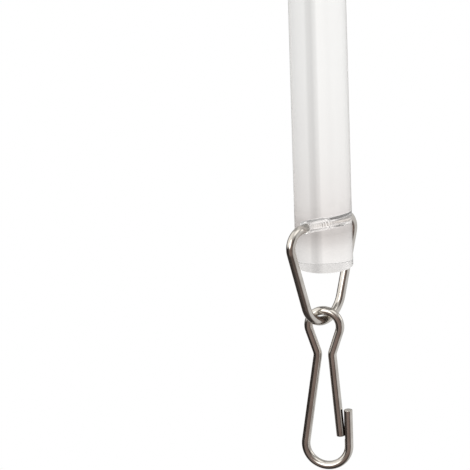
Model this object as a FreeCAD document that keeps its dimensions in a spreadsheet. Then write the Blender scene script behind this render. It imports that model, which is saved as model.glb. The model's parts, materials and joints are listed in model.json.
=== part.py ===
"""Curtain wand: a clear acrylic rod that hangs from a bent wire ring and a wire snap hook.

The part is in the frame of its use, hung up, in millimetres, with +Z up. The origin is the inside of the hook's
bight, where a curtain carrier bears. The hook lies in the XZ plane, with its gate on the -X side.
"""

import FreeCAD, Part
import math
import os

import Sketcher

DIMENSIONS = {
    # snap hook, bent from one spring wire
    "hook_wire": 1.5,
    "hook_length": 30.0,
    "bight_radius": 3.85,
    "eye_radius": 2.8,
    "neck_height": 5.3,
    "neck_gap": 1.1,
    "neck_bend": 2.0,
    "tip_length": 6.6,
    "gate_overlap": 4.9,
    "latch_distance": 1.4,
    "latch_gap": 0.12,
    "seat_overrun": 0.6,
    "wire_end_break": 0.15,
    # triangular ring, bent from a thicker wire
    "ring_wire": 1.6,
    "ring_width": 16.4,
    "ring_depth": 17.8,
    "ring_corner": 2.8,
    "ring_vertex": 4.8,
    "ring_butt_gap": 0.4,
    "ring_turn": 62.0,
    "link_gap": 0.2,
    # clear rod
    "rod_diameter": 10.0,
    "rod_length": 500.0,
    "rod_top_break": 0.25,
    "rod_grip_round": 0.8,
    "hole_diameter": 2.2,
    "hole_from_end": 8.0,
    "hole_mouth_break": 0.2,
    "hole_seat_gap": 0.1,
    "rod_side_shift": 0.5,
}

# The numbers that a sketch gives to the ends and centre of a curve, to its axes and to its origin.
START, END, CENTRE = 1, 2, 3
ACROSS, UPRIGHT = -1, -2
ORIGIN = (-1, 1)

# Two places closer than this, in millimetres, are the same place.
SAME_PLACE = 0.001

doc = FreeCAD.newDocument("CurtainWand")
sheet = doc.addObject("Spreadsheet::Sheet", "Sizes")
for row, (alias, value) in enumerate(DIMENSIONS.items(), start=1):
    sheet.set(f"A{row}", alias)
    sheet.set(f"B{row}", str(value))
    sheet.setAlias(f"B{row}", alias)
doc.recompute()


def size(alias):
    """A cell's value, to draw a sketch near its solved form and to find an edge by its place."""
    return float(sheet.get(alias))


def new_body(label):
    body = doc.addObject("PartDesign::Body", label)
    body.Label = label
    return body


def new_sketch(body, name, plane):
    """An empty sketch on one of the body's own origin planes."""
    sketch = body.newObject("Sketcher::SketchObject", name)
    support = next(item for item in body.Origin.OriginFeatures if item.Role == plane)
    sketch.AttachmentSupport = (support, [""])
    sketch.MapMode = "FlatFace"
    return sketch


def tie(sketch, kind, *where):
    """A geometric constraint of a sketch."""
    sketch.addConstraint(Sketcher.Constraint(kind, *where))


def drive(sketch, name, expression, kind, *where):
    """A dimension of a sketch that follows an expression on the sheet's cells."""
    value = float(sketch.evalExpression(expression))
    index = sketch.addConstraint(Sketcher.Constraint(kind, *where, value))
    sketch.renameConstraint(index, name)
    sketch.setExpression(f"Constraints.{name}", expression)


def draw_circle(sketch, name, radius):
    """A circle about the sketch's origin, with its radius driven by an expression."""
    circle = Part.Circle(FreeCAD.Vector(), FreeCAD.Vector(0, 0, 1), 1.0)
    drawn = sketch.addGeometry(circle, False)
    tie(sketch, "Coincident", drawn, CENTRE, *ORIGIN)
    drive(sketch, name, radius, "Radius", drawn)


def draw_bend(sketch, centre, radius, start_angle, end_angle):
    """An arc of wire, counter-clockwise from its start angle to its end angle, in degrees."""
    circle = Part.Circle(FreeCAD.Vector(*centre, 0), FreeCAD.Vector(0, 0, 1), radius)
    bend = Part.ArcOfCircle(circle, math.radians(start_angle), math.radians(end_angle))
    return sketch.addGeometry(bend, False)


def draw_straight(sketch, start, end):
    straight = Part.LineSegment(FreeCAD.Vector(*start, 0), FreeCAD.Vector(*end, 0))
    return sketch.addGeometry(straight, False)


def join_bends(sketch, from_bend, from_end, to_bend, to_end):
    """A straight stretch of wire between the named ends of two bends, tangent to both."""
    start = sketch.getPoint(from_bend, from_end)
    end = sketch.getPoint(to_bend, to_end)
    drawn = draw_straight(sketch, (start.x, start.y), (end.x, end.y))
    tie(sketch, "Tangent", drawn, START, from_bend, from_end)
    tie(sketch, "Tangent", drawn, END, to_bend, to_end)


def place_on(sketch, drawn, end):
    """A curve's end, in the body's own space, for a sketch on its XZ plane."""
    spot = sketch.getPoint(drawn, end)
    return FreeCAD.Vector(spot.x, 0, spot.y)


def edge_names(shape, wanted):
    """The names of the shape's edges for which wanted(edge) is true."""
    return [f"Edge{number}" for number, edge in enumerate(shape.Edges, start=1) if wanted(edge)]


def edges_ending_at(shape, place):
    """The names of the edges that start or end at a place."""
    return edge_names(
        shape, lambda edge: any(vertex.Point.distanceToPoint(place) < SAME_PLACE for vertex in edge.Vertexes)
    )


def rims_at(shape, place, diameter):
    """The names of the round edges of a diameter about a place, such as the rim of a wire's cut end."""
    return edge_names(
        shape,
        lambda edge: isinstance(edge.Curve, Part.Circle)
        and edge.Curve.Center.distanceToPoint(place) < SAME_PLACE
        and abs(2 * edge.Curve.Radius - diameter) < SAME_PLACE,
    )


def sweep(body, kind, name, path, edges, start_edge, radius):
    """A round section swept along edges of a path sketch: a length of wire, or the groove that one lies in."""
    section = body.newObject("Sketcher::SketchObject", f"{name}_section")
    section.AttachmentSupport = (path, [start_edge])
    section.MapMode = "NormalToEdge"
    section.MapPathParameter = 0.0
    draw_circle(section, "section_radius", radius)
    pipe = body.newObject(f"PartDesign::{kind}", name)
    pipe.Profile = section
    pipe.Spine = (path, edges)
    doc.recompute()
    return pipe


def break_edges(body, kind, name, base, edges, amount):
    """A chamfer or fillet on the named edges of the body's last feature."""
    feature = body.newObject(f"PartDesign::{kind}", name)
    feature.Base = (base, edges)
    feature.setExpression("Size" if kind == "Chamfer" else "Radius", amount)
    doc.recompute()
    return feature


# Snap hook. Its line runs from the tip over the bight, down the long arm, round the eye and up the gate arm.
hook = new_body("snap_hook")
hook_line = new_sketch(hook, "hook_line", "XZ_Plane")
bight_drop = size("bight_radius") - size("hook_wire") / 2
tip_drop = bight_drop + size("tip_length")
eye_drop = size("hook_length") - 1.5 * size("hook_wire") - size("eye_radius")
neck_drop = eye_drop - size("neck_height")
neck_side = (size("neck_gap") + size("hook_wire")) / 2 + size("neck_bend")
gate_top = (size("latch_distance") - size("bight_radius"), size("gate_overlap") - tip_drop)

bight = draw_bend(hook_line, (0, -bight_drop), size("bight_radius"), -8, 180)
arm_neck = draw_bend(hook_line, (neck_side, -neck_drop), size("neck_bend"), 172, 205)
eye = draw_bend(hook_line, (0, -eye_drop), size("eye_radius"), 155, 385)
gate_neck = draw_bend(hook_line, (-neck_side, -neck_drop), size("neck_bend"), -25, 5)
tip = draw_straight(hook_line, (-size("bight_radius"), -tip_drop), (-size("bight_radius"), -bight_drop))
gate = draw_straight(hook_line, (size("neck_bend") - neck_side, -neck_drop), gate_top)
overrun = draw_straight(hook_line, gate_top, (gate_top[0], gate_top[1] + size("seat_overrun")))
join_bends(hook_line, bight, START, arm_neck, START)
join_bends(hook_line, arm_neck, END, eye, END)
join_bends(hook_line, eye, START, gate_neck, START)
tie(hook_line, "Tangent", tip, END, bight, END)
tie(hook_line, "Tangent", gate, START, gate_neck, END)
tie(hook_line, "Coincident", overrun, START, gate, END)
tie(hook_line, "Parallel", overrun, gate)
tie(hook_line, "Vertical", tip)
tie(hook_line, "PointOnObject", bight, CENTRE, UPRIGHT)
tie(hook_line, "PointOnObject", eye, CENTRE, UPRIGHT)
tie(hook_line, "Symmetric", arm_neck, CENTRE, gate_neck, CENTRE, UPRIGHT)
tie(hook_line, "Equal", arm_neck, gate_neck)

BIGHT_LEVEL = "Sizes.bight_radius - Sizes.hook_wire / 2"
EYE_LEVEL = "Sizes.hook_length - 1.5 * Sizes.hook_wire - Sizes.eye_radius"
NECK_SIDE = "(Sizes.neck_gap + Sizes.hook_wire) / 2 + Sizes.neck_bend"
drive(hook_line, "bight_bend", "Sizes.bight_radius", "Radius", bight)
drive(hook_line, "eye_bend", "Sizes.eye_radius", "Radius", eye)
drive(hook_line, "neck_bend", "Sizes.neck_bend", "Radius", arm_neck)
drive(hook_line, "bight_level", BIGHT_LEVEL, "DistanceY", bight, CENTRE, *ORIGIN)
drive(hook_line, "eye_level", EYE_LEVEL, "DistanceY", eye, CENTRE, *ORIGIN)
drive(hook_line, "neck_level", "Sizes.neck_height", "DistanceY", eye, CENTRE, arm_neck, CENTRE)
drive(hook_line, "neck_side", NECK_SIDE, "DistanceX", *ORIGIN, arm_neck, CENTRE)
drive(hook_line, "tip_run", "Sizes.tip_length", "DistanceY", tip, START, tip, END)
drive(hook_line, "gate_side", "Sizes.bight_radius - Sizes.latch_distance", "DistanceX", gate, END, *ORIGIN)
drive(hook_line, "gate_reach", "Sizes.gate_overlap", "DistanceY", tip, START, gate, END)
drive(hook_line, "seat_overrun", "Sizes.seat_overrun", "Distance", overrun, START, overrun, END)
doc.recompute()

# The wire up to the gate arm comes first. The tip is then pressed to a seat for the gate arm, and the arm added.
tip_foot = place_on(hook_line, tip, START)
gate_end = place_on(hook_line, gate, END)
tip_edge = edges_ending_at(hook_line.Shape, tip_foot)[0]
overrun_edge = edges_ending_at(hook_line.Shape, place_on(hook_line, overrun, END))[0]
gate_edge = next(name for name in edges_ending_at(hook_line.Shape, gate_end) if name != overrun_edge)
bent_edges = edge_names(hook_line.Shape, lambda edge: True)
bent_edges.remove(gate_edge)
bent_edges.remove(overrun_edge)
bent_wire = sweep(hook, "AdditivePipe", "bent_wire", hook_line, bent_edges, tip_edge, "Sizes.hook_wire / 2")
tip_rim = rims_at(bent_wire.Shape, tip_foot, size("hook_wire"))
break_edges(hook, "Chamfer", "tip_end", bent_wire, tip_rim, "Sizes.wire_end_break")
sweep(
    hook, "SubtractivePipe", "gate_seat", hook_line, [gate_edge, overrun_edge], gate_edge,
    "Sizes.hook_wire / 2 + Sizes.latch_gap",
)
gate_arm = sweep(hook, "AdditivePipe", "gate_arm", hook_line, [gate_edge], gate_edge, "Sizes.hook_wire / 2")
gate_rim = rims_at(gate_arm.Shape, gate_end, size("hook_wire"))
break_edges(hook, "Chamfer", "gate_arm_end", gate_arm, gate_rim, "Sizes.wire_end_break")

# Triangular ring: a bar through the rod, two round corners, two sides and a round vertex in the hook's eye. The
# wire's ends meet in the middle of the bar, inside the rod. The bar is along the ring's own X axis.
ring = new_body("triangle_ring")
ring_line = new_sketch(ring, "ring_line", "XZ_Plane")
corner_side = size("ring_width") / 2 - size("ring_corner")
vertex_rise = size("ring_depth") - size("ring_vertex")
half_butt = size("ring_butt_gap") / 2
first_corner = draw_bend(ring_line, (corner_side, size("ring_corner")), size("ring_corner"), -90, 15)
vertex = draw_bend(ring_line, (0, vertex_rise), size("ring_vertex"), 15, 165)
last_corner = draw_bend(ring_line, (-corner_side, size("ring_corner")), size("ring_corner"), 165, 270)
first_bar = draw_straight(ring_line, (half_butt, 0), (corner_side, 0))
last_bar = draw_straight(ring_line, (-half_butt, 0), (-corner_side, 0))
join_bends(ring_line, first_corner, END, vertex, START)
join_bends(ring_line, vertex, END, last_corner, START)
tie(ring_line, "Tangent", first_bar, END, first_corner, START)
tie(ring_line, "Tangent", last_bar, END, last_corner, END)
tie(ring_line, "PointOnObject", first_bar, START, ACROSS)
tie(ring_line, "Horizontal", first_bar)
tie(ring_line, "Symmetric", first_bar, START, last_bar, START, UPRIGHT)
tie(ring_line, "Symmetric", first_corner, CENTRE, last_corner, CENTRE, UPRIGHT)
tie(ring_line, "Equal", first_corner, last_corner)
tie(ring_line, "PointOnObject", vertex, CENTRE, UPRIGHT)

CORNER_SIDE = "Sizes.ring_width / 2 - Sizes.ring_corner"
VERTEX_RISE = "Sizes.ring_depth - Sizes.ring_vertex"
drive(ring_line, "corner_bend", "Sizes.ring_corner", "Radius", first_corner)
drive(ring_line, "vertex_bend", "Sizes.ring_vertex", "Radius", vertex)
drive(ring_line, "corner_side", CORNER_SIDE, "DistanceX", *ORIGIN, first_corner, CENTRE)
drive(ring_line, "vertex_rise", VERTEX_RISE, "DistanceY", *ORIGIN, vertex, CENTRE)
drive(ring_line, "half_butt", "Sizes.ring_butt_gap / 2", "DistanceX", *ORIGIN, first_bar, START)
doc.recompute()

wire_start = edges_ending_at(ring_line.Shape, place_on(ring_line, first_bar, START))[0]
ring_edges = edge_names(ring_line.Shape, lambda edge: True)
sweep(ring, "AdditivePipe", "ring_wire", ring_line, ring_edges, wire_start, "Sizes.ring_wire / 2")

# The ring hangs in the bottom of the eye, turned about the vertical against the hook's plane.
BAR_LEVEL = "2 * Sizes.hook_wire - Sizes.hook_length + Sizes.link_gap + Sizes.ring_wire / 2 - Sizes.ring_depth"
ring.setExpression("Placement.Base.z", BAR_LEVEL)
ring.setExpression("Placement.Rotation.Angle", "-Sizes.ring_turn")

# Clear rod, cross-drilled for the ring's bar. Its own origin is the middle of the hole, which is along its Y axis.
rod = new_body("acrylic_rod")
rod_section = new_sketch(rod, "rod_section", "XY_Plane")
rod_section.setExpression("AttachmentOffset.Base.z", "Sizes.hole_from_end")
draw_circle(rod_section, "rod_radius", "Sizes.rod_diameter / 2")
bar_stock = rod.newObject("PartDesign::Pad", "bar_stock")
bar_stock.Profile = rod_section
bar_stock.Reversed = True
bar_stock.setExpression("Length", "Sizes.rod_length")
doc.recompute()

top_middle = FreeCAD.Vector(0, 0, size("hole_from_end"))
grip_middle = FreeCAD.Vector(0, 0, size("hole_from_end") - size("rod_length"))
top_rim = rims_at(bar_stock.Shape, top_middle, size("rod_diameter"))
sawn_end = break_edges(rod, "Chamfer", "sawn_end", bar_stock, top_rim, "Sizes.rod_top_break")
grip_rim = rims_at(sawn_end.Shape, grip_middle, size("rod_diameter"))
break_edges(rod, "Fillet", "grip_end", sawn_end, grip_rim, "Sizes.rod_grip_round")

hole_section = new_sketch(rod, "hole_section", "XZ_Plane")
draw_circle(hole_section, "hole_radius", "Sizes.hole_diameter / 2")
cross_hole = rod.newObject("PartDesign::Pocket", "cross_hole")
cross_hole.Profile = hole_section
cross_hole.Midplane = True
cross_hole.setExpression("Length", "2 * Sizes.rod_diameter")
doc.recompute()
mouths = edge_names(cross_hole.Shape, lambda edge: isinstance(edge.Curve, Part.BSplineCurve))
break_edges(rod, "Chamfer", "hole_mouths", cross_hole, mouths, "Sizes.hole_mouth_break")

# The rod hangs on the ring's bar by the top of its hole, slid a little to one side along the bar.
HOLE_LEVEL = f"{BAR_LEVEL} - (Sizes.hole_diameter - Sizes.ring_wire) / 2 + Sizes.hole_seat_gap"
rod.setExpression("Placement.Base.x", "-Sizes.rod_side_shift * cos(Sizes.ring_turn * 1 deg)")
rod.setExpression("Placement.Base.y", "Sizes.rod_side_shift * sin(Sizes.ring_turn * 1 deg)")
rod.setExpression("Placement.Base.z", HOLE_LEVEL)
rod.setExpression("Placement.Rotation.Angle", "-90 - Sizes.ring_turn")
doc.recompute()

failed = [item.Name for item in doc.Objects if {"Invalid", "Error"} & set(item.State)]
if failed:
    raise RuntimeError(f"failed features: {failed}")

os.makedirs("parts", exist_ok=True)
for body in (hook, ring, rod):
    shape = body.Shape
    if shape.isNull() or not shape.isValid() or len(shape.Solids) != 1:
        raise RuntimeError(f"{body.Label} is not one valid solid")
    shape.exportStep(f"parts/{body.Label}.step")
    print(body.Label, round(shape.Volume, 2), "mm3")
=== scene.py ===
"""Looks of a curtain wand, hung as in use: a clear acrylic rod on a bent wire ring and a wire snap hook."""

import json
import math
import random

import bmesh
import bpy
from mathutils import Matrix, Vector


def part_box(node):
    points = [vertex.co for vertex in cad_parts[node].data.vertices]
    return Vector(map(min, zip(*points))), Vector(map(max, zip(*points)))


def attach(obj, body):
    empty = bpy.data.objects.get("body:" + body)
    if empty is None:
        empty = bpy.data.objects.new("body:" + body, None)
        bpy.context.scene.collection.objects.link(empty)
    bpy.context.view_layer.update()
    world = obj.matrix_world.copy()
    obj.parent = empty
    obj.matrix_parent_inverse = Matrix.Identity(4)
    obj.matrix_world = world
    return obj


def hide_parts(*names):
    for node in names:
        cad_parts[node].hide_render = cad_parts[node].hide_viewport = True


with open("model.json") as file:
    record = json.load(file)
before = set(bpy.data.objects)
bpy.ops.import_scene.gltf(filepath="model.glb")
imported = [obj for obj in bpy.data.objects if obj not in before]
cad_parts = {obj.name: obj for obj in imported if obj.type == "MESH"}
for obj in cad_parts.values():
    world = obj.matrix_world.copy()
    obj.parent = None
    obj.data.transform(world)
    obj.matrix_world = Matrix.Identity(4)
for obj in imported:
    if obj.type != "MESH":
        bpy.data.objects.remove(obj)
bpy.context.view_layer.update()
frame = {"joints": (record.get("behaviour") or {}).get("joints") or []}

# Acrylic rod. One length of clear acrylic, sawn square at the top and polished at the rounded grip end.
# It is drilled across for the ring: the near part of the bore is frosted and ribbed, the far part melted
# smooth. Its colour is painted darker round the hole, as painted shade, and a painted glow stands for
# the light that it pipes along, in the bore and at the ends.
ROD_RADIUS = 0.005
ROD_SIDES = 192
SAWN_EDGE = 0.00006
SAWN_EDGE_STEPS = 3
GRIP_ROUND = 0.0008
GRIP_ROUND_STEPS = 8
HOLE_BELOW_TOP = 0.008
HOLE_BAND = 0.0022
BORE_RADIUS = 0.0011
BORE_SIDES = 56
RIB_PITCH = 0.0005
RIB_DEPTH = 0.0001
FAR_RIBS = 0.3
# Dark and light tones across the ribs: painted shade of the ribs, also used for their painted glow.
PAINTED_RIB_SHADE = ((0.0, (0.6, 0.59, 0.58, 1)), (0.55, (1.0, 1.0, 0.995, 1)))
MOUTH_START = 0.0046
MOUTH_END = 0.0056
MOUTH_FLARE = 0.00018
MOUTH_CHIPS = 0.0001
CHIP_SEED = 5
FROST_END = -0.0005
ACRYLIC_IOR = 1.49
DIE_LINES = (1400, 1400, 14)
SAW_LINES = (300, 4000, 4000)
# Painted glow: emission on the bore and the ends, standing in for light piped along the rod.
PAINTED_GLOW = 0.35
PAINTED_GLOW_TONE = (1.0, 0.99, 0.98, 1)
PAINTED_END_GLOW = 0.05
SHARP_ANGLE = math.radians(35)
TINY = 0.00001

# Each tone of the painted shade round the hole stands at a share of this length, down from the sawn end.
PAINTED_SHADE_LENGTH = 0.05
PAINTED_SHADE_TONES = (
    (0.0, (0.95, 0.935, 0.925, 1)), (0.05, (0.94, 0.92, 0.91, 1)), (0.08, (0.84, 0.81, 0.797, 1)),
    (0.11, (0.66, 0.625, 0.61, 1)), (0.14, (0.58, 0.543, 0.528, 1)), (0.165, (0.77, 0.735, 0.72, 1)),
    (0.19, (0.83, 0.8, 0.788, 1)), (0.24, (0.88, 0.855, 0.845, 1)), (0.4, (0.935, 0.925, 0.918, 1)),
    (0.7, (0.977, 0.975, 0.97, 1)), (1.0, (0.985, 0.985, 0.98, 1)),
)

rod_low, rod_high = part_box("acrylic_rod")
rod_middle = (rod_low + rod_high) / 2
hole_middle = Vector((rod_middle.x, rod_middle.y, rod_high.z - HOLE_BELOW_TOP))
rod_swing = next(joint for joint in frame["joints"] if joint["name"] == "rod_swing")
bar_middle = Vector(rod_swing["pos_m"])
bar_axis = Vector(rod_swing["axis"]).normalized()


def add_node(tree, kind, inputs=None, **settings):
    """A node of a tree, with its settings and its unlinked inputs."""
    node = tree.nodes.new(kind)
    for name, value in settings.items():
        setattr(node, name, value)
    for name, value in (inputs or {}).items():
        node.inputs[name].default_value = value
    return node


def fill_ramp(node, stops):
    """Gives a colour ramp its stops, each a position and a colour, in order of position."""
    elements = node.color_ramp.elements
    elements.remove(elements[1])
    elements[0].position = stops[0][0]
    elements[0].color = stops[0][1]
    for position, colour in stops[1:]:
        elements.new(position).color = colour


def new_finish(name, **shader_inputs):
    """A material with one Principled shader, its node tree, that shader, and the place on the piece."""
    material = bpy.data.materials.new(name)
    material.use_nodes = True
    tree = material.node_tree
    shader = tree.nodes["Principled BSDF"]
    for socket, value in shader_inputs.items():
        shader.inputs[socket.replace("_", " ")].default_value = value
    place = add_node(tree, "ShaderNodeTexCoord").outputs["Object"]
    return material, tree, shader, place


def new_piece(name, bm, *finishes):
    """An object of a bmesh, with its finishes in its material slots."""
    mesh = bpy.data.meshes.new(name)
    bm.to_mesh(mesh)
    bm.free()
    for finish in finishes:
        mesh.materials.append(finish)
    piece = bpy.data.objects.new(name, mesh)
    bpy.context.scene.collection.objects.link(piece)
    return piece


def smooth_but_sharp(mesh):
    """Smooth shading, with the edges sharper than the sharp angle left sharp."""
    mesh.shade_smooth()
    mesh.set_sharp_from_angle(angle=SHARP_ANGLE)


# Uneven gloss, on every finish of the wand: fine marks, and the roughness from low to high that they give.
uneven_gloss = bpy.data.node_groups.new("uneven_gloss", "ShaderNodeTree")
uneven_gloss.interface.new_socket("Vector", in_out="INPUT", socket_type="NodeSocketVector")
for socket in ("Scale", "Detail", "Fineness", "Low", "High"):
    uneven_gloss.interface.new_socket(socket, in_out="INPUT", socket_type="NodeSocketFloat")
for socket in ("Marks", "Roughness"):
    uneven_gloss.interface.new_socket(socket, in_out="OUTPUT", socket_type="NodeSocketFloat")
given = add_node(uneven_gloss, "NodeGroupInput")
marks = add_node(uneven_gloss, "ShaderNodeTexNoise")
low_to_high = add_node(uneven_gloss, "ShaderNodeMapRange")
result = add_node(uneven_gloss, "NodeGroupOutput")
for socket in ("Vector", "Scale", "Detail"):
    uneven_gloss.links.new(given.outputs[socket], marks.inputs[socket])
uneven_gloss.links.new(given.outputs["Fineness"], marks.inputs["Roughness"])
uneven_gloss.links.new(marks.outputs["Fac"], low_to_high.inputs["Value"])
uneven_gloss.links.new(given.outputs["Low"], low_to_high.inputs["To Min"])
uneven_gloss.links.new(given.outputs["High"], low_to_high.inputs["To Max"])
uneven_gloss.links.new(marks.outputs["Fac"], result.inputs["Marks"])
uneven_gloss.links.new(low_to_high.outputs["Result"], result.inputs["Roughness"])


def add_gloss(tree, shader, vector, scale, detail, fineness, low, high):
    """Places the uneven gloss in a finish, on its shader's roughness, and gives back its marks."""
    values = {"Scale": scale, "Detail": detail, "Fineness": fineness, "Low": low, "High": high}
    gloss = add_node(tree, "ShaderNodeGroup", values, node_tree=uneven_gloss)
    tree.links.new(vector, gloss.inputs["Vector"])
    tree.links.new(gloss.outputs["Roughness"], shader.inputs["Roughness"])
    return gloss.outputs["Marks"]


def add_relief(tree, shader, height, strength, distance):
    """Raises a finish by a height, as bump."""
    relief = add_node(tree, "ShaderNodeBump", {"Strength": strength, "Distance": distance})
    tree.links.new(height, relief.inputs["Height"])
    tree.links.new(relief.outputs["Normal"], shader.inputs["Normal"])


clear_acrylic, tree, shader, place = new_finish(
    "clear_acrylic", IOR=ACRYLIC_IOR, Transmission_Weight=0.95
)
heights = add_node(tree, "ShaderNodeSeparateXYZ")
# Painted shade: the rod's base colour darkens round the hole, standing in for the shade seen through it.
painted_shade_levels = {"From Min": rod_high.z, "From Max": rod_high.z - PAINTED_SHADE_LENGTH}
from_end = add_node(tree, "ShaderNodeMapRange", painted_shade_levels)
painted_shade = add_node(tree, "ShaderNodeValToRGB")
fill_ramp(painted_shade, PAINTED_SHADE_TONES)
along_rod = add_node(tree, "ShaderNodeMapping", {"Scale": DIE_LINES})
die_lines = add_node(tree, "ShaderNodeTexNoise", {"Scale": 1.0, "Detail": 3.0, "Roughness": 0.6})
tree.links.new(place, heights.inputs["Vector"])
tree.links.new(heights.outputs["Z"], from_end.inputs["Value"])
tree.links.new(from_end.outputs["Result"], painted_shade.inputs["Fac"])
tree.links.new(painted_shade.outputs["Color"], shader.inputs["Base Color"])
tree.links.new(place, along_rod.inputs["Vector"])
tree.links.new(along_rod.outputs["Vector"], die_lines.inputs["Vector"])
add_gloss(tree, shader, place, scale=260.0, detail=4.0, fineness=0.6, low=0.0, high=0.08)
add_relief(tree, shader, die_lines.outputs["Fac"], strength=0.05, distance=0.00002)

# The sawn end glows a little, as painted light.
sawn_acrylic, tree, shader, place = new_finish(
    "sawn_acrylic", Base_Color=(0.88, 0.868, 0.858, 1), IOR=ACRYLIC_IOR, Transmission_Weight=0.85,
    Emission_Color=PAINTED_GLOW_TONE, Emission_Strength=PAINTED_END_GLOW,
)
along_cut = add_node(tree, "ShaderNodeMapping", {"Scale": SAW_LINES})
tree.links.new(place, along_cut.inputs["Vector"])
cut = along_cut.outputs["Vector"]
saw_marks = add_gloss(tree, shader, cut, scale=1.0, detail=3.0, fineness=0.6, low=0.02, high=0.12)
add_relief(tree, shader, saw_marks, strength=0.03, distance=0.00002)

frosted_bore, tree, shader, place = new_finish(
    "frosted_bore", IOR=ACRYLIC_IOR, Transmission_Weight=0.93, Emission_Strength=PAINTED_GLOW
)
bore_turn = (0, 0, -math.atan2(bar_axis.y, bar_axis.x))
along_bore = add_node(tree, "ShaderNodeMapping", {"Rotation": bore_turn})
rib_scale = math.pi / (10 * RIB_PITCH)  # a wave texture of scale 1 repeats every pi / 10
rib_waves = {"Scale": rib_scale, "Distortion": 2.0, "Detail": 2.0}
ribs = add_node(tree, "ShaderNodeTexWave", rib_waves)
# The ribs' painted shade sets both the colour and the painted glow of the frosted bore.
white = add_node(tree, "ShaderNodeValToRGB")
fill_ramp(white, PAINTED_RIB_SHADE)
tree.links.new(place, along_bore.inputs["Vector"])
tree.links.new(along_bore.outputs["Vector"], ribs.inputs["Vector"])
tree.links.new(ribs.outputs["Fac"], white.inputs["Fac"])
tree.links.new(white.outputs["Color"], shader.inputs["Base Color"])
tree.links.new(white.outputs["Color"], shader.inputs["Emission Color"])
scratches = add_gloss(tree, shader, place, scale=5000.0, detail=3.0, fineness=0.7, low=0.12, high=0.3)
add_relief(tree, shader, scratches, strength=0.3, distance=0.00003)

# The melted far part of the bore glows at half strength, as painted light.
melted_bore, tree, shader, place = new_finish(
    "melted_bore", Base_Color=(0.99, 0.99, 0.985, 1), IOR=ACRYLIC_IOR, Transmission_Weight=1.0,
    Emission_Color=PAINTED_GLOW_TONE, Emission_Strength=PAINTED_GLOW / 2,
)
add_gloss(tree, shader, place, scale=3000.0, detail=3.0, fineness=0.6, low=0.02, high=0.1)

# The grip end glows, as painted light.
polished_grip, tree, shader, place = new_finish(
    "polished_grip", Base_Color=(0.9, 0.893, 0.885, 1), IOR=ACRYLIC_IOR, Transmission_Weight=0.8,
    Emission_Color=PAINTED_GLOW_TONE, Emission_Strength=PAINTED_GLOW,
)
add_gloss(tree, shader, place, scale=900.0, detail=3.0, fineness=0.6, low=0.02, high=0.12)

bm = bmesh.new()
bmesh.ops.create_cone(
    bm, cap_ends=True, segments=ROD_SIDES, radius1=ROD_RADIUS, radius2=ROD_RADIUS,
    depth=rod_high.z - rod_low.z, matrix=Matrix.Translation(rod_middle),
)
rod_ends = ((rod_high.z, SAWN_EDGE, SAWN_EDGE_STEPS), (rod_low.z, GRIP_ROUND, GRIP_ROUND_STEPS))
for level, edge_round, steps in rod_ends:
    rim = [edge for edge in bm.edges if all(abs(vert.co.z - level) < TINY for vert in edge.verts)]
    bmesh.ops.bevel(
        bm, geom=rim, offset=edge_round, affect="EDGES", segments=steps, profile=0.5, material=-1
    )
for level in (hole_middle.z - HOLE_BAND, hole_middle.z + HOLE_BAND):
    everything = [*bm.verts, *bm.edges, *bm.faces]
    bmesh.ops.bisect_plane(bm, geom=everything, plane_co=(0, 0, level), plane_no=(0, 0, 1))
rod_finishes = [clear_acrylic, sawn_acrylic, melted_bore, polished_grip]
for face in bm.faces:
    if len(face.verts) == ROD_SIDES:
        end_finish = sawn_acrylic if face.normal.z > 0 else polished_grip
        face.material_index = rod_finishes.index(end_finish)
    elif face.calc_center_median().z > rod_high.z - SAWN_EDGE:
        face.material_index = rod_finishes.index(melted_bore)
rod = new_piece("clear_rod", bm, *rod_finishes)


def ribbed_wall(direction, depth):
    """Points of the bore's wall, along and out from its middle, from the middle towards one mouth."""
    count = int(2 * MOUTH_START / RIB_PITCH) + 1
    return [
        (direction * rib * RIB_PITCH / 2, BORE_RADIUS + depth * (rib % 2 - 0.5)) for rib in range(count)
    ]


bm = bmesh.new()
near = ribbed_wall(1, RIB_DEPTH)
far = ribbed_wall(-1, RIB_DEPTH * FAR_RIBS)
flare = BORE_RADIUS + MOUTH_FLARE
outline = [(-MOUTH_END, 0), (-MOUTH_END, flare), *far[:0:-1], *near, (MOUTH_END, flare), (MOUTH_END, 0)]
line = [bm.verts.new((station, 0, radius)) for station, radius in outline]
for first, second in zip(line, line[1:]):
    bm.edges.new((first, second))
bmesh.ops.spin(
    bm, geom=[*bm.verts, *bm.edges], cent=(0, 0, 0), axis=(1, 0, 0), angle=math.tau, steps=BORE_SIDES,
    use_merge=True,
)
bmesh.ops.remove_doubles(bm, verts=bm.verts, dist=TINY / 10)
chips = random.Random(CHIP_SEED)
for vert in bm.verts:
    if abs(vert.co.x) > MOUTH_START and vert.co.yz.length > TINY:
        vert.co.yz *= 1 + chips.random() * MOUTH_CHIPS / vert.co.yz.length
bmesh.ops.recalc_face_normals(bm, faces=bm.faces)
bore_finishes = [frosted_bore, melted_bore]
for face in bm.faces:
    wall_finish = melted_bore if face.calc_center_median().x < FROST_END else frosted_bore
    face.material_index = bore_finishes.index(wall_finish)
along_bar = bar_axis.to_track_quat("X", "Z").to_matrix().to_4x4()
bmesh.ops.transform(bm, matrix=Matrix.Translation(hole_middle) @ along_bar, verts=bm.verts)
bore = new_piece("bore", bm, *bore_finishes)

drill = rod.modifiers.new("drill", "BOOLEAN")
drill.operation = "DIFFERENCE"
drill.solver = "EXACT"
drill.material_mode = "TRANSFER"
drill.object = bore
bpy.context.view_layer.update()
drilled = bpy.data.meshes.new_from_object(rod.evaluated_get(bpy.context.evaluated_depsgraph_get()))
rod.modifiers.clear()
rod.data = drilled
bpy.data.objects.remove(bore)
smooth_but_sharp(drilled)
for face in drilled.polygons:
    face.use_smooth = drilled.materials[face.material_index] not in (sawn_acrylic, polished_grip)
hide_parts("acrylic_rod")
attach(rod, "rod")

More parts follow.
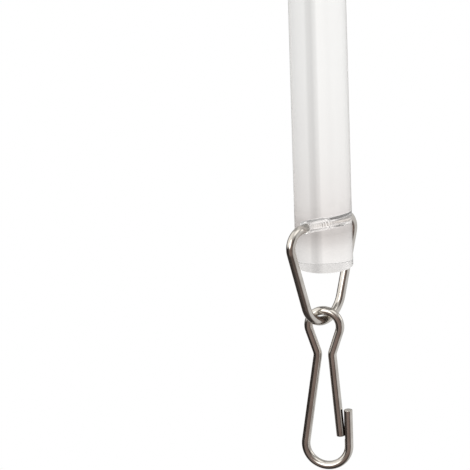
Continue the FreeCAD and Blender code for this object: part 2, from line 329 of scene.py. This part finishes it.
# Triangle ring. One length of nickel-plated steel wire, bent round three soft corners. Its bar runs through
# the rod's bore, where its two cut ends meet, so that the rod itself keeps the ring shut.
RING_WIRE = 0.0016
RING_WIDTH = 0.0164
RING_DEPTH = 0.0178
RING_CORNER = 0.0028
RING_VERTEX = 0.0048
RING_BUTT = 0.0004
WIRE_SIDES = 48
WIRE_END_BREAK = 0.00015
WIRE_END_STEPS = 3
BEND_STEP = math.radians(3)
STREAKS_ROUND = 7.0
STREAKS_ALONG = 260.0
PLATE_TONES = ((0.3, (0.56, 0.53, 0.49, 1)), (0.7, (0.72, 0.69, 0.65, 1)))
# Painted shade in the crevice between the gate arm and the tip.
CREVICE_SHADE_TONE = (0.06, 0.05, 0.045, 1)


class Wire:
    """A wire that grows from one cut end, as a bender feeds it on and bends it in one plane.

    Each point of the wire keeps, as its grain, its place round the wire's section.
    """

    def __init__(self, thickness, start, heading, plane_normal):
        self.bm = bmesh.new()
        self.heading = heading
        self.plane_normal = plane_normal
        grain = self.bm.verts.layers.float_vector.new("wire_grain")
        made = bmesh.ops.create_circle(self.bm, cap_ends=True, segments=WIRE_SIDES, radius=thickness / 2)
        for vert in made["verts"]:
            vert[grain] = vert.co * 2 / thickness
        turn = heading.to_track_quat("Z", "Y").to_matrix().to_4x4()
        bmesh.ops.transform(self.bm, matrix=Matrix.Translation(start) @ turn, verts=self.bm.verts)
        self.bm.faces.ensure_lookup_table()
        self.end = self.bm.faces[0]

    def feed(self, distance, steps=1):
        """Runs straight on, in even steps."""
        for step in range(steps):
            made = bmesh.ops.extrude_face_region(self.bm, geom=[self.end])
            self.end = next(item for item in made["geom"] if isinstance(item, bmesh.types.BMFace))
            bmesh.ops.translate(self.bm, verts=self.end.verts, vec=self.heading * (distance / steps))

    def bend(self, radius, angle):
        """Bends about the plane's normal, by the right-hand rule where the angle is positive."""
        side = self.plane_normal.cross(self.heading) * math.copysign(radius, angle)
        made = bmesh.ops.spin(
            self.bm, geom=[self.end, *self.end.edges, *self.end.verts],
            cent=self.end.calc_center_median() + side, axis=self.plane_normal, angle=angle,
            steps=math.ceil(abs(angle) / BEND_STEP),
        )
        self.end = next(item for item in made["geom_last"] if isinstance(item, bmesh.types.BMFace))
        self.heading = Matrix.Rotation(angle, 3, self.plane_normal) @ self.heading

    def break_ends(self):
        """Rounds the rims of the two cut ends."""
        rims = [edge for face in self.bm.faces if len(face.verts) == WIRE_SIDES for edge in face.edges]
        bmesh.ops.bevel(
            self.bm, geom=rims, offset=WIRE_END_BREAK, affect="EDGES", segments=WIRE_END_STEPS, profile=0.5,
            material=-1,
        )
        bmesh.ops.recalc_face_normals(self.bm, faces=self.bm.faces)


def straight_between(across, along, radii):
    """The slant and the length of a straight run that touches two bends, whose middles stand so far apart.

    The radii are added up where the run crosses from one side to the other, and else are their difference.
    """
    span = math.hypot(across, along)
    return math.atan2(across, along) - math.asin(radii / span), math.sqrt(span**2 - radii**2)


bright_nickel, tree, shader, place = new_finish("bright_nickel", Metallic=1.0)
grain = add_node(tree, "ShaderNodeAttribute", attribute_name="wire_grain")
round_the_wire = add_node(tree, "ShaderNodeVectorMath", {"Scale": STREAKS_ROUND}, operation="SCALE")
down_the_wire = add_node(tree, "ShaderNodeVectorMath", {"Scale": STREAKS_ALONG}, operation="SCALE")
drawn = add_node(tree, "ShaderNodeVectorMath", operation="ADD")
smudges = add_node(tree, "ShaderNodeTexNoise", {"Scale": 420.0, "Detail": 3.0, "Roughness": 0.55})
plate = add_node(tree, "ShaderNodeValToRGB")
fill_ramp(plate, PLATE_TONES)
# Painted shade: the plate darkens where the crevice mask is set.
in_crevice_shade = add_node(tree, "ShaderNodeAttribute", attribute_name="crevice")
crevice_shaded = add_node(tree, "ShaderNodeMix", {"B": CREVICE_SHADE_TONE}, data_type="RGBA")
tree.links.new(grain.outputs["Vector"], round_the_wire.inputs[0])
tree.links.new(place, down_the_wire.inputs[0])
tree.links.new(round_the_wire.outputs["Vector"], drawn.inputs[0])
tree.links.new(down_the_wire.outputs["Vector"], drawn.inputs[1])
tree.links.new(place, smudges.inputs["Vector"])
tree.links.new(smudges.outputs["Fac"], plate.inputs["Fac"])
tree.links.new(plate.outputs["Color"], crevice_shaded.inputs["A"])
tree.links.new(in_crevice_shade.outputs["Fac"], crevice_shaded.inputs["Factor"])
tree.links.new(crevice_shaded.outputs["Result"], shader.inputs["Base Color"])
drawn_along = drawn.outputs["Vector"]
streaks = add_gloss(tree, shader, drawn_along, scale=1.0, detail=4.0, fineness=0.6, low=0.06, high=0.2)
add_relief(tree, shader, streaks, strength=0.06, distance=0.00003)

corner_side = RING_WIDTH / 2 - RING_CORNER
bar_half = corner_side - RING_BUTT / 2
vertex_rise = RING_DEPTH - RING_VERTEX - RING_CORNER
side_slant, side_length = straight_between(corner_side, vertex_rise, RING_VERTEX - RING_CORNER)
up = Vector((0, 0, 1))
wire = Wire(RING_WIRE, bar_middle + bar_axis * RING_BUTT / 2, bar_axis, bar_axis.cross(up))
wire.feed(bar_half)
wire.bend(RING_CORNER, math.pi / 2 + side_slant)
wire.feed(side_length)
wire.bend(RING_VERTEX, math.pi - 2 * side_slant)
wire.feed(side_length)
wire.bend(RING_CORNER, math.pi / 2 + side_slant)
wire.feed(bar_half)
wire.break_ends()
ring = new_piece("bent_ring", wire.bm, bright_nickel)
smooth_but_sharp(ring.data)
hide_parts("triangle_ring")
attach(ring, "ring")

# Snap hook. One length of nickel-plated spring wire: a tip, a round bight, a long arm, an eye, a gate arm.
# The springy gate arm shuts against the inside of the tip, where the wire is pressed to a shallow seat.
# The plate is painted dark in the crevice between the two, as painted shade.
HOOK_WIRE = 0.0015
BIGHT_RADIUS = 0.00385
EYE_RADIUS = 0.0028
NECK_HEIGHT = 0.0053
NECK_GAP = 0.0011
NECK_BEND = 0.002
TIP_LENGTH = 0.0066
TIP_STEPS = 66
GATE_OVERLAP = 0.0049
LATCH_DISTANCE = 0.0014
LATCH_GAP = 0.00012
SEAT_OVERRUN = 0.0006
LATCH_LENGTH = 0.006
LATCH_STEPS = 60
CREVICE_HALF = 0.0003
CREVICE_FADE = 0.0004

hook_low, hook_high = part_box("snap_hook")
bight_level = hook_high.z - HOOK_WIRE / 2 - BIGHT_RADIUS
tip_foot = Vector((-BIGHT_RADIUS, 0, bight_level - TIP_LENGTH))
eye_level = hook_low.z + HOOK_WIRE / 2 + EYE_RADIUS
neck_level = eye_level + NECK_HEIGHT
neck_side = (NECK_GAP + HOOK_WIRE) / 2 + NECK_BEND
gate_end = Vector((LATCH_DISTANCE - BIGHT_RADIUS, 0, tip_foot.z + GATE_OVERLAP))
arm_slant, arm_length = straight_between(neck_side, bight_level - neck_level, BIGHT_RADIUS + NECK_BEND)
eye_slant, eye_length = straight_between(neck_side, NECK_HEIGHT, EYE_RADIUS + NECK_BEND)
gate_slant, gate_length = straight_between(gate_end.x + neck_side, gate_end.z - neck_level, NECK_BEND)

wire = Wire(HOOK_WIRE, tip_foot, up, Vector((0, 1, 0)))
wire.feed(TIP_LENGTH, TIP_STEPS)
gate_heading = Vector((math.sin(gate_slant), 0, math.cos(gate_slant)))
seat_radius = HOOK_WIRE / 2 + LATCH_GAP
for vert in wire.bm.verts:
    from_gate = vert.co - gate_end
    past_gate = from_gate.dot(gate_heading)
    from_gate -= gate_heading * past_gate
    if past_gate < SEAT_OVERRUN and from_gate.length < seat_radius:
        vert.co += from_gate * (seat_radius / from_gate.length - 1)
wire.bend(BIGHT_RADIUS, math.pi - arm_slant)
wire.feed(arm_length)
wire.bend(NECK_BEND, arm_slant + eye_slant)
wire.feed(eye_length)
wire.bend(EYE_RADIUS, math.pi - 2 * eye_slant)
wire.feed(eye_length)
wire.bend(NECK_BEND, eye_slant + gate_slant)
wire.feed(gate_length - LATCH_LENGTH)
wire.feed(LATCH_LENGTH, LATCH_STEPS)
# A mask for the painted shade in the crevice between the gate arm and the tip.
crevice = wire.bm.verts.layers.float.new("crevice")
for vert in wire.bm.verts:
    below_end = gate_end.z - vert.co.z
    crevice_side = (tip_foot.x + gate_end.x - below_end * math.tan(gate_slant)) / 2
    from_crevice = math.hypot(vert.co.x - crevice_side, vert.co.y)
    if -SEAT_OVERRUN < below_end < GATE_OVERLAP and from_crevice < CREVICE_HALF + CREVICE_FADE:
        vert[crevice] = min(1, (CREVICE_HALF + CREVICE_FADE - from_crevice) / CREVICE_FADE)
wire.break_ends()
hook = new_piece("snap_hook_wire", wire.bm, bright_nickel)
smooth_but_sharp(hook.data)
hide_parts("snap_hook")
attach(hook, "hook")

# Studio. The camera looks up at the hanging wand and is rolled over, so the hook is at the picture's foot.
# The polished wire mirrors a room of light and dark patches, and a paler room shows through the clear rod.
# The camera sees a plain backdrop, white above and pale grey from the horizon down, and a pale floor.
PHOTO_PIXELS = 470
PIXELS_PER_METRE = 5720
CROWN_PIXEL = (328.3, 469.0)
VIEW_TURN = math.radians(14)
VIEW_RISE = math.radians(18)
VIEW_LEAN = math.radians(1.8)
CAMERA_DISTANCE = 1.5
SENSOR_WIDTH = 36
FLOOR_LEVEL = -0.6
FLOOR_FADE = 2.5
FLOOR_RADIUS = 13
FLOOR_SIDES = 96
FLOOR_TONE = (0.72, 0.72, 0.715, 1.0)
OVERHEAD_STRENGTH = 0.25
OVERHEAD_SPREAD = math.radians(60)
HORIZON_TONE = (0.66, 0.66, 0.655, 1.0)
UPPER_TONE = (1.0, 1.0, 1.0, 1.0)
UPPER_FADE = {"From Min": -0.02, "From Max": 0.2}

# A patch of a room has its middle, as a turn from the camera's side to the picture's right and a rise, then
# the angles within which it is full and past which it is gone, in degrees, and if mirrored its tone.
ROOM_TONE = (0.5, 0.49, 0.475, 1.0)
ROOM_PATCHES = (
    ((0, 18), 30, 62, (0.26, 0.2, 0.178, 1.0)),
    ((-100, 12), 40, 60, (0.034, 0.026, 0.023, 1.0)),
    ((33, 18), 4, 12, (0.08, 0.065, 0.06, 1.0)),
    ((-45, -58), 26, 44, (0.95, 0.94, 0.92, 1.0)),
    ((35, 58), 18, 32, (0.12, 0.095, 0.085, 1.0)),
    ((-60, 75), 24, 42, (0.05, 0.042, 0.038, 1.0)),
    ((100, 10), 30, 60, (0.74, 0.735, 0.73, 1.0)),
    ((-30, -18), 17, 29, (2.6, 2.56, 2.48, 1.0)),
    ((97, -20), 8, 17, (1.9, 1.87, 1.8, 1.0)),
    ((-88, -34), 26, 47, (1.25, 1.23, 1.19, 1.0)),
    ((43, -8), 9, 20, (0.1, 0.082, 0.075, 1.0)),
    ((52, -62), 14, 28, (1.5, 1.48, 1.43, 1.0)),
)

# The pale room has a level at each turn from straight ahead to the picture's right. Low ahead it is dimmer.
PALE_ROOM = (
    (-180, 1.0), (-165, 0.62), (-140, 0.95), (-120, 1.02), (-105, 0.6), (-88, 0.74), (-72, 0.88),
    (-37, 0.995), (2, 1.03), (5, 0.88), (11.5, 0.735), (15.7, 0.77), (22, 0.92), (30, 0.905),
    (48, 0.88), (62, 0.95), (75, 1.02), (88, 0.72), (100, 0.6), (111, 0.92), (122, 0.8),
    (134, 1.0), (150, 0.62), (165, 0.75), (180, 1.0),
)
PALE_TINT = (1.0, 0.995, 0.985)
LOW_PATCH = ((180, -36), 24, 42)
LOW_LEVEL = 0.82

back = -Vector((
    math.sin(VIEW_TURN) * math.cos(VIEW_RISE),
    math.cos(VIEW_TURN) * math.cos(VIEW_RISE),
    math.sin(VIEW_RISE),
))
level_right = Vector((-math.cos(VIEW_TURN), math.sin(VIEW_TURN), 0))
level_back = up.cross(level_right)
level_up = back.cross(level_right)
photo_right = level_right * math.cos(VIEW_LEAN) - level_up * math.sin(VIEW_LEAN)
photo_up = back.cross(photo_right)

crown = Vector((0, 0, hook_high.z))
crown_right = (CROWN_PIXEL[0] - PHOTO_PIXELS / 2) / PIXELS_PER_METRE
crown_down = (CROWN_PIXEL[1] - PHOTO_PIXELS / 2) / PIXELS_PER_METRE
aim = crown - photo_right * crown_right + photo_up * crown_down
camera = bpy.data.objects.new("camera", bpy.data.cameras.new("camera"))
bpy.context.scene.collection.objects.link(camera)
camera.data.sensor_width = SENSOR_WIDTH
camera.data.lens = SENSOR_WIDTH * CAMERA_DISTANCE * PIXELS_PER_METRE / PHOTO_PIXELS
camera_turn = Matrix((photo_right, photo_up, back)).transposed().to_4x4()
camera.matrix_world = Matrix.Translation(aim + back * CAMERA_DISTANCE) @ camera_turn
bpy.context.scene.camera = camera

world = bpy.data.worlds.new("studio")
world.use_nodes = True
bpy.context.scene.world = world
room_tree = world.node_tree
direction = add_node(room_tree, "ShaderNodeTexCoord").outputs["Generated"]


def dot_with(towards):
    """How far a ray of the room heads in a direction, as a dot product."""
    product = add_node(room_tree, "ShaderNodeVectorMath", {1: towards}, operation="DOT_PRODUCT")
    room_tree.links.new(direction, product.inputs[0])
    return product.outputs["Value"]


def mix_in(colour, added, amount):
    """A colour of the room with another mixed over it by an amount."""
    mix = add_node(room_tree, "ShaderNodeMix", data_type="RGBA")
    for socket, value in (("A", colour), ("B", added)):
        if isinstance(value, tuple):
            mix.inputs[socket].default_value = value
        else:
            room_tree.links.new(value, mix.inputs[socket])
    room_tree.links.new(amount, mix.inputs["Factor"])
    return mix.outputs["Result"]


def share_of_patch(middle, full, gone):
    """How much of a round patch of the room a ray meets, from none to all."""
    turn, rise = (math.radians(angle) for angle in middle)
    around = level_right * math.sin(turn) + level_back * math.cos(turn)
    towards = around * math.cos(rise) + up * math.sin(rise)
    edges = {"From Min": math.cos(math.radians(gone)), "From Max": math.cos(math.radians(full))}
    patch = add_node(room_tree, "ShaderNodeMapRange", edges, interpolation_type="SMOOTHSTEP")
    room_tree.links.new(dot_with(towards), patch.inputs["Value"])
    return patch.outputs["Result"]


mirrored = ROOM_TONE
for middle, full, gone, tone in ROOM_PATCHES:
    mirrored = mix_in(mirrored, tone, share_of_patch(middle, full, gone))

bearing = add_node(room_tree, "ShaderNodeMath", operation="ARCTAN2")
full_turn = add_node(room_tree, "ShaderNodeMapRange", {"From Min": -math.pi, "From Max": math.pi})
pale = add_node(room_tree, "ShaderNodeValToRGB")
pale.color_ramp.interpolation = "EASE"
pale_stops = [
    (turn / 360 + 0.5, (*(level * part for part in PALE_TINT), 1)) for turn, level in PALE_ROOM
]
fill_ramp(pale, pale_stops)
dimmed = add_node(room_tree, "ShaderNodeVectorMath", {"Scale": LOW_LEVEL}, operation="SCALE")
room_tree.links.new(dot_with(level_right), bearing.inputs[0])
room_tree.links.new(dot_with(-level_back), bearing.inputs[1])
room_tree.links.new(bearing.outputs["Value"], full_turn.inputs["Value"])
room_tree.links.new(full_turn.outputs["Result"], pale.inputs["Fac"])
room_tree.links.new(pale.outputs["Color"], dimmed.inputs[0])
through = mix_in(pale.outputs["Color"], dimmed.outputs["Vector"], share_of_patch(*LOW_PATCH))

upper = add_node(room_tree, "ShaderNodeMapRange", UPPER_FADE, interpolation_type="SMOOTHSTEP")
room_tree.links.new(dot_with(up), upper.inputs["Value"])
backdrop = mix_in(HORIZON_TONE, UPPER_TONE, upper.outputs["Result"])
ray = add_node(room_tree, "ShaderNodeLightPath")
seen = mix_in(through, mirrored, ray.outputs["Is Glossy Ray"])
seen = mix_in(seen, through, ray.outputs["Is Transmission Ray"])
seen = mix_in(seen, backdrop, ray.outputs["Is Camera Ray"])
room_tree.links.new(seen, room_tree.nodes["Background"].inputs["Color"])

# The floor fades out towards its edge, and is clear from below.
pale_floor, tree, shader, place = new_finish("pale_floor", Base_Color=FLOOR_TONE, Roughness=0.6)
flat = add_node(tree, "ShaderNodeVectorMath", {1: (1.0, 1.0, 0.0)}, operation="MULTIPLY")
away = add_node(tree, "ShaderNodeVectorMath", operation="LENGTH")
fade_edges = {"From Min": FLOOR_FADE, "From Max": FLOOR_RADIUS}
fade = add_node(tree, "ShaderNodeMapRange", fade_edges, interpolation_type="SMOOTHSTEP")
surface = add_node(tree, "ShaderNodeNewGeometry")
unseen = add_node(tree, "ShaderNodeMath", operation="MAXIMUM")
clear = add_node(tree, "ShaderNodeBsdfTransparent")
faded = add_node(tree, "ShaderNodeMixShader")
tree.links.new(place, flat.inputs[0])
tree.links.new(flat.outputs["Vector"], away.inputs[0])
tree.links.new(away.outputs["Value"], fade.inputs["Value"])
tree.links.new(fade.outputs["Result"], unseen.inputs[0])
tree.links.new(surface.outputs["Backfacing"], unseen.inputs[1])
tree.links.new(unseen.outputs["Value"], faded.inputs["Fac"])
tree.links.new(shader.outputs["BSDF"], faded.inputs[1])
tree.links.new(clear.outputs["BSDF"], faded.inputs[2])
tree.links.new(faded.outputs["Shader"], tree.nodes["Material Output"].inputs["Surface"])
bm = bmesh.new()
bmesh.ops.create_circle(
    bm, cap_ends=True, segments=FLOOR_SIDES, radius=FLOOR_RADIUS,
    matrix=Matrix.Translation((0, 0, FLOOR_LEVEL)),
)
floor = new_piece("floor", bm, pale_floor)
floor.visible_glossy = False
floor.visible_transmission = False

overhead = bpy.data.objects.new("overhead", bpy.data.lights.new("overhead", "SUN"))
bpy.context.scene.collection.objects.link(overhead)
overhead.data.energy = OVERHEAD_STRENGTH
overhead.data.angle = OVERHEAD_SPREAD
overhead.visible_glossy = False
overhead.visible_transmission = False

bpy.context.scene.view_settings.view_transform = "Standard"
